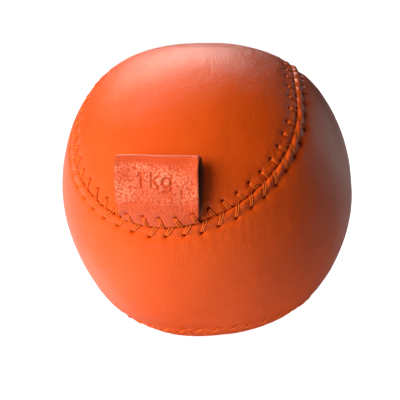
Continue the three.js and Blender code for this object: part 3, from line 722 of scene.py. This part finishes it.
def stitch_line(k, side, root_top):
    """Points of stitch k from its hole to the seam, seam tangents and outward directions."""
    share, lift = THREAD_PATH.T
    row = ROWS[side]
    s = row.hole_s[k] + (row.entry_s[k] - row.hole_s[k]) * share
    d = (row.hole_d[k] - 0.22) * (1 - share)
    dirs = dir_at(s, side * d)
    ground = (relief(side, s, np.maximum(d, 0.45), dirs) + broad(dirs)
              + 1.25 * stitch_marks(side, s, d).hole)
    height = ground + THREAD_R + lift
    height[[0, -1]] = lift[[0, -1]]
    height[1], height[-2] = min(height[1], -1.4), min(height[-2], -1.5)
    if side == CROWN and abs(wrap_mm(row.hole_s[k] - TAG_S)) < TAG_W / 2 - 0.6:
        height = over_tag(height, share, lift, dirs, root_top)
    return cover(dirs, height), seam_tangent(s), dirs


def refine(x):
    """Add midpoints, then smooth."""
    y = np.empty((2 * len(x) - 1,) + x.shape[1:])
    y[0::2] = x
    y[1::2] = (x[:-1] + x[1:]) / 2
    y[1:-1] = (y[:-2] + 2 * y[1:-1] + y[2:]) / 4
    return y


def thread_piece(root_top):
    """One continuous doubled thread, crossing the seam from stitch to stitch."""
    lines = [stitch_line(k, side, root_top) for k in range(STITCHES) for side in (CROWN, BELLY)]
    path, seam_way, outward = (refine(np.concatenate(part)) for part in zip(*lines))
    seam_way, outward = unit(seam_way), unit(outward)
    # the strands draw together at the holes
    spread = refine(np.tile(np.clip(0.55 + 0.6 * THREAD_PATH[:, 0], 0.5, 1), len(lines)))
    forward = unit(np.gradient(path, axis=0))
    aside = unit(np.cross(outward, forward) + 1e-9)
    # vertical runs: keep the two strands side by side along the seam
    vertical = np.abs(dot(forward, outward))
    along_seam = seam_way - forward * dot(seam_way, forward)
    same_way = np.sign(dot(aside, along_seam))
    aside = unit(aside * same_way * (1 - vertical) + unit(along_seam) * vertical)
    across = unit(aside - forward * dot(aside, forward))
    upward = np.cross(forward, across)
    wobble = waves(path, 2.0, 5.0, 12, 51)[:, None]
    # a little thicker near the tag
    from_tag = np.linalg.norm(path - CENTRE - tag_out * RADIUS, axis=1)
    radius = THREAD_R + 0.05 * np.exp(-(from_tag / 17) ** 4)[:, None]
    angle = np.arange(THREAD_SIDES) * 2 * np.pi / THREAD_SIDES
    ids = np.arange(len(path) * THREAD_SIDES).reshape(-1, THREAD_SIDES)

    verts, faces = [], []
    for strand, side in enumerate((1, -1)):
        centre = (path + aside * side * (THREAD_APART * spread[:, None] + 0.02 * wobble)
                  + outward * 0.02 * side * wobble)
        # slightly oval and twisting along its length
        twist = np.arange(len(path))[:, None] * 0.5 * side
        r = radius * (1 + 0.07 * np.cos(2 * (angle[None] + twist)))
        ring = (np.cos(angle)[None, :, None] * across[:, None]
                + np.sin(angle)[None, :, None] * upward[:, None])
        verts.append((centre[:, None] + ring * r[..., None]).reshape(-1, 3))
        rings = ids + strand * ids.size
        a, b = rings[:-1], rings[1:]
        quads = np.stack([a, np.roll(a, -1, 1), np.roll(b, -1, 1), b], -1).reshape(-1, 4)
        if strand == 0:
            inside_out = signed_volume(verts[0], quads) < 0
        faces += [*quads.tolist(), rings[0, ::-1].tolist(), rings[-1].tolist()]
    if inside_out:
        faces = [f[::-1] for f in faces]
    return make("stitch_thread", np.concatenate(verts), faces)


# ------------------------------------------------------------------- materials
def principled(name, rough):
    material = bpy.data.materials.new(name)
    material.use_nodes = True
    tree = material.node_tree
    shader = tree.nodes["Principled BSDF"]
    shader.inputs["Roughness"].default_value = rough
    return material, tree, shader


def node(tree, kind, inputs=None, **settings):
    """A shader node; each input is given a value, or an output socket to link from."""
    made = tree.nodes.new("ShaderNode" + kind)
    for name, value in settings.items():
        setattr(made, name, value)
    for key, value in (inputs or {}).items():
        if isinstance(value, bpy.types.NodeSocket):
            tree.links.new(value, made.inputs[key])
        else:
            made.inputs[key].default_value = value
    return made


def object_coords(tree):
    return node(tree, "TexCoord").outputs["Object"]


def math_node(tree, operation, a, b):
    return node(tree, "Math", {0: a, 1: b}, operation=operation).outputs[0]


def map_range(tree, value, from_min=0.0, from_max=1.0, to_min=0.0, to_max=1.0):
    return node(tree, "MapRange", {"Value": value, "From Min": from_min, "From Max": from_max,
                                   "To Min": to_min, "To Max": to_max}).outputs[0]


def ramp(tree, factor, stops):
    made = node(tree, "ValToRGB", {0: factor})
    elements = made.color_ramp.elements
    while len(elements) < len(stops):
        elements.new(0.5)
    for element, (position, colour) in zip(elements, stops):
        element.position = position
        element.color = (*colour, 1)
    return made.outputs[0]


def mix_rgb(tree, factor, a, b, blend="MIX"):
    return node(tree, "MixRGB", {0: factor, 1: a, 2: b}, blend_type=blend).outputs[0]


def leather(name, base, deep, light, grain_mm, bump_mm, rough, spec=0.36, tops=None, flesh_and_shade=None):
    """Leather with blotches between deep and light, and a grain of fine cracks.

    One tint paints highlights on the pebble tops and the other darkens the flesh side, the cut
    edges and the stitch holes, where the mesh's attributes say; in the holes and inside the tag's
    fold that darkening is painted shade.
    """
    material, tree, shader = principled(name, rough)
    grain = grain_mm * MM
    coords = object_coords(tree)
    blotches = node(tree, "TexNoise",
                    {"Vector": coords, "Scale": 45.0, "Detail": 5.0, "Roughness": 0.6})
    fine = node(tree, "TexNoise",
                {"Vector": coords, "Scale": 900.0, "Detail": 4.0, "Roughness": 0.7})
    warp = node(tree, "TexNoise", {"Vector": coords, "Scale": 0.5 / grain, "Detail": 2.0})
    warped = node(tree, "VectorMath",
                  {0: warp.outputs["Color"], 1: (grain * 0.9,) * 3, 2: coords},
                  operation="MULTIPLY_ADD")
    pores = node(tree, "TexVoronoi", {"Vector": warped.outputs[0], "Scale": 1.0 / grain},
                 feature="DISTANCE_TO_EDGE")
    colour = ramp(tree, blotches.outputs["Fac"], [(0.30, deep), (0.52, base), (0.78, light)])
    crack = map_range(tree, pores.outputs["Distance"], from_max=0.16)
    crack_tint = ramp(tree, crack, [(0.0, (0.965, 0.935, 0.91)), (1.0, (1, 1, 1))])
    colour = mix_rgb(tree, 1.0, colour, crack_tint, blend="MULTIPLY")
    for attribute, tint in (("pebble_glints", tops), ("flesh_and_shade", flesh_and_shade)):
        if tint:
            amount = node(tree, "Attribute", attribute_name=attribute).outputs["Fac"]
            colour = mix_rgb(tree, amount, colour, (*tint, 1))
    tree.links.new(colour, shader.inputs["Base Color"])
    roughness = map_range(tree, fine.outputs["Fac"], to_min=rough - 0.05, to_max=rough + 0.07)
    tree.links.new(roughness, shader.inputs["Roughness"])
    crack_bump = node(tree, "Bump",
                      {"Strength": 0.5, "Distance": bump_mm * MM, "Height": crack})
    fine_bump = node(tree, "Bump",
                     {"Strength": 0.35, "Distance": bump_mm * MM * 0.6,
                      "Height": fine.outputs["Fac"], "Normal": crack_bump.outputs[0]})
    tree.links.new(fine_bump.outputs[0], shader.inputs["Normal"])
    shader.inputs["Specular IOR Level"].default_value = spec
    shader.inputs["Specular Tint"].default_value = (1, 0.66, 0.46, 1)
    return material


def cloth(name, light, dark, thread_mm, rough):
    """Woven look: two crossed sets of bands, broken up by noise."""
    material, tree, shader = principled(name, rough)
    coords = object_coords(tree)
    bands = {"Vector": coords, "Scale": 0.55 / (thread_mm * MM), "Distortion": 0.6}
    bands_x, bands_z = (node(tree, "TexWave", bands, bands_direction=axis).outputs["Fac"]
                        for axis in "XZ")
    noise = node(tree, "TexNoise", {"Vector": coords, "Scale": 400.0, "Detail": 4.0})
    weave = math_node(tree, "MAXIMUM", bands_x, bands_z)
    shade = math_node(tree, "MULTIPLY", weave, noise.outputs["Fac"])
    # darker between the threads: painted shade in the weave, varied at random by the noise
    colour = ramp(tree, shade, [(0.1, dark), (0.65, light)])
    tree.links.new(colour, shader.inputs["Base Color"])
    bump = node(tree, "Bump",
                {"Strength": 0.6, "Distance": thread_mm * MM * 0.5, "Height": weave})
    tree.links.new(bump.outputs[0], shader.inputs["Normal"])
    shader.inputs["Sheen Weight"].default_value = 0.2
    return material


def grains(name):
    material, tree, shader = principled(name, rough=0.8)
    cell = node(tree, "TexVoronoi", {"Vector": object_coords(tree), "Scale": 900.0})
    distance = cell.outputs["Distance"]
    # darker towards each grain's edge: painted shade between the grains
    colour = ramp(tree, distance, [(0.0, (0.32, 0.28, 0.24)), (0.6, (0.16, 0.14, 0.12)),
                                   (1.0, (0.05, 0.045, 0.04))])
    tree.links.new(colour, shader.inputs["Base Color"])
    bump = node(tree, "Bump", {"Strength": 0.8, "Distance": 0.0005, "Height": distance},
                invert=True)
    tree.links.new(bump.outputs[0], shader.inputs["Normal"])
    return material


# the cover's dark tint is painted shade in the stitch holes
cover_leather = leather(
    "cover_leather", base=(0.585, 0.064, 0.0045), deep=(0.55, 0.057, 0.003),
    light=(0.62, 0.072, 0.006), grain_mm=0.9, bump_mm=0.11, rough=0.38,
    flesh_and_shade=(0.14, 0.010, 0.004))
# the tag's pale tint is a painted highlight on the pebble tops; its dark tint is the darker flesh
# side and cut edges, painted darker still as shade in the fold
tag_leather = leather(
    "tag_leather", base=(0.55, 0.062, 0.014), deep=(0.51, 0.054, 0.011),
    light=(0.59, 0.072, 0.019), grain_mm=0.7, bump_mm=0.12, rough=0.33, spec=0.5,
    tops=(0.78, 0.25, 0.14), flesh_and_shade=(0.13, 0.026, 0.014))
waxed_thread = leather(
    "waxed_thread", base=(0.72, 0.112, 0.012), deep=(0.67, 0.095, 0.010),
    light=(0.77, 0.135, 0.016), grain_mm=0.18, bump_mm=0.05, rough=0.45)
felt = cloth("pad_felt", light=(0.66, 0.60, 0.52), dark=(0.50, 0.45, 0.38),
             thread_mm=0.6, rough=0.95)
bag = cloth("bag_cloth", light=(0.62, 0.56, 0.44), dark=(0.42, 0.37, 0.28),
            thread_mm=0.5, rough=0.9)
cord = cloth("cotton_cord", light=(0.80, 0.76, 0.66), dark=(0.62, 0.57, 0.47),
             thread_mm=0.4, rough=0.85)
fill = grains("mineral_grains")


def dress(obj, material):
    obj.data.materials.clear()
    obj.data.materials.append(material)


# ---------------------------------------------------------------------- pieces
crown = panel(CROWN, "leather_panel_crown")
belly = panel(BELLY, "leather_panel_belly")
tag, tag_root_top = tag_piece()
thread = thread_piece(tag_root_top)
for obj, material, replaced, slot in (
        (crown, cover_leather, ["cover_panel_crown"], "cover_leather"),
        (belly, cover_leather, ["cover_panel_belly"], "cover_leather"),
        (thread, waxed_thread, ["seam_thread"], "waxed_thread"),
        (tag, tag_leather, ["tag_root", "tag_flap"], "tag_leather")):
    dress(obj, material)
    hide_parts(*replaced)
    if obj is not tag:
        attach(obj, "ball")
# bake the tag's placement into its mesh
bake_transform(tag)

for material, names in (
        (felt, ("felt_pad_crown", "felt_pad_belly")),
        (bag, ("inner_bag_gore_1", "inner_bag_gore_2", "inner_bag_gore_3",
               "inner_bag_gore_4", "inner_bag_base_disc")),
        (cord, ("bag_tie_cord",)),
        (fill, ("weight_fill",))):
    for name in names:
        dress(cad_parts[name], material)

# ------------------------------------------------------------ studio, in metres
scene = bpy.context.scene
scene.view_settings.view_transform = "Standard"
BALL_Z = CENTRE_Z * MM


def floor_material():
    """White to the camera; other rays see a lit patch round the ball and pale sides."""
    grey = (0.3, 0.3, 0.3, 1)
    material, tree, shader = principled("floor", rough=0.9)
    shader.inputs["Base Color"].default_value = grey
    shader.inputs["Specular IOR Level"].default_value = 0.1
    shader.inputs["Emission Color"].default_value = (1, 1, 1, 1)
    ray = node(tree, "LightPath").outputs
    coords = object_coords(tree)
    # for the bounce, a patch centred towards -x and -y that fades out
    shifted = node(tree, "VectorMath", {0: coords, 1: (0.075, 0.03, 0)}, operation="ADD")
    distance = node(tree, "VectorMath", {0: shifted.outputs[0]}, operation="LENGTH")
    patch = map_range(tree, distance.outputs["Value"],
                      from_min=0.02, from_max=0.19, to_min=2.0, to_max=0.0)
    bounce = math_node(tree, "MULTIPLY", patch, ray["Is Diffuse Ray"])
    glow = math_node(tree, "MAXIMUM", bounce, ray["Is Camera Ray"])
    # pale surfaces to either side show in the ball's rims, brighter on the key side
    x = node(tree, "SeparateXYZ", {0: coords}).outputs["X"]
    for near, far, strength in ((-0.012, -0.052, 1.15), (0.03, 0.11, 0.45)):
        rim = map_range(tree, x, from_min=near, from_max=far, to_max=strength)
        reflected = math_node(tree, "MULTIPLY", rim, ray["Is Glossy Ray"])
        glow = math_node(tree, "MAXIMUM", reflected, glow)
    tree.links.new(glow, shader.inputs["Emission Strength"])
    # darker in reflections
    tone = mix_rgb(tree, ray["Is Glossy Ray"], grey, (0.05, 0.05, 0.05, 1))
    tree.links.new(tone, shader.inputs["Base Color"])
    return material


def make_floor(half_size=6, drop=0.0001):
    mesh = bpy.data.meshes.new("floor")
    corners = [(x * half_size, y * half_size, 0) for x, y in ((-1, -1), (1, -1), (1, 1), (-1, 1))]
    mesh.from_pydata(corners, [], [(0, 1, 2, 3)])
    floor = bpy.data.objects.new("floor", mesh)
    floor.location.z = -drop
    scene.collection.objects.link(floor)
    mesh.materials.append(floor_material())
    return floor


def make_world():
    """White to the camera, nearly black as a light."""
    world = bpy.data.worlds.new("studio")
    scene.world = world
    world.use_nodes = True
    tree = world.node_tree
    background = tree.nodes["Background"]
    background.inputs[0].default_value = (1, 1, 1, 1)
    ray = node(tree, "LightPath").outputs
    tree.links.new(map_range(tree, ray["Is Camera Ray"], to_min=0.024), background.inputs[1])


def area(name, azimuth, elevation, distance, size, power, size_y=None, glossy=True, diffuse=True):
    """Area light aimed at the ball: azimuth to the camera's left, elevation up, in degrees."""
    light = bpy.data.lights.new(name, "AREA")
    light.energy = power
    light.size = size
    if size_y:
        light.shape = "RECTANGLE"
        light.size_y = size_y
    a, e = math.radians(azimuth), math.radians(elevation)
    location = (-math.sin(a) * math.cos(e) * distance, -math.cos(a) * math.cos(e) * distance,
                BALL_Z + math.sin(e) * distance)
    aim = Vector((0, 0, BALL_Z)) - Vector(location)
    obj = bpy.data.objects.new(name, light)
    obj.location = location
    obj.rotation_euler = aim.to_track_quat("-Z", "Y").to_euler()
    obj.visible_glossy = glossy
    obj.visible_diffuse = diffuse
    scene.collection.objects.link(obj)


def make_camera(distance=0.45):
    data = bpy.data.cameras.new("camera")
    camera = bpy.data.objects.new("camera", data)
    scene.collection.objects.link(camera)
    camera.location = (0, -distance * math.cos(CAMERA_TILT),
                       BALL_Z + distance * math.sin(CAMERA_TILT))
    camera.rotation_euler = (math.radians(90) - CAMERA_TILT, 0, 0)
    data.sensor_width = 36
    data.lens = 119.88
    data.shift_x = -0.01675
    data.shift_y = -0.03025
    data.clip_start = 0.01
    scene.camera = camera


make_floor()
make_world()
area("key", azimuth=53, elevation=22, distance=1.0, size=0.7, power=18.8, glossy=False)
area("key_sheen", azimuth=92, elevation=2, distance=1.1, size=0.8, power=1.8)
area("overhead", azimuth=100, elevation=68, distance=0.9, size=0.6, power=1.8, glossy=False)
area("overhead_sheen", azimuth=157, elevation=48.5, distance=0.9, size=0.8, size_y=0.34,
     power=9.6, diffuse=False)
area("right_card", azimuth=-120, elevation=12, distance=0.9, size=0.55, power=1.7,
     diffuse=False)
area("back_fill", azimuth=-178, elevation=18, distance=1.0, size=0.4, power=4, glossy=False)
make_camera()
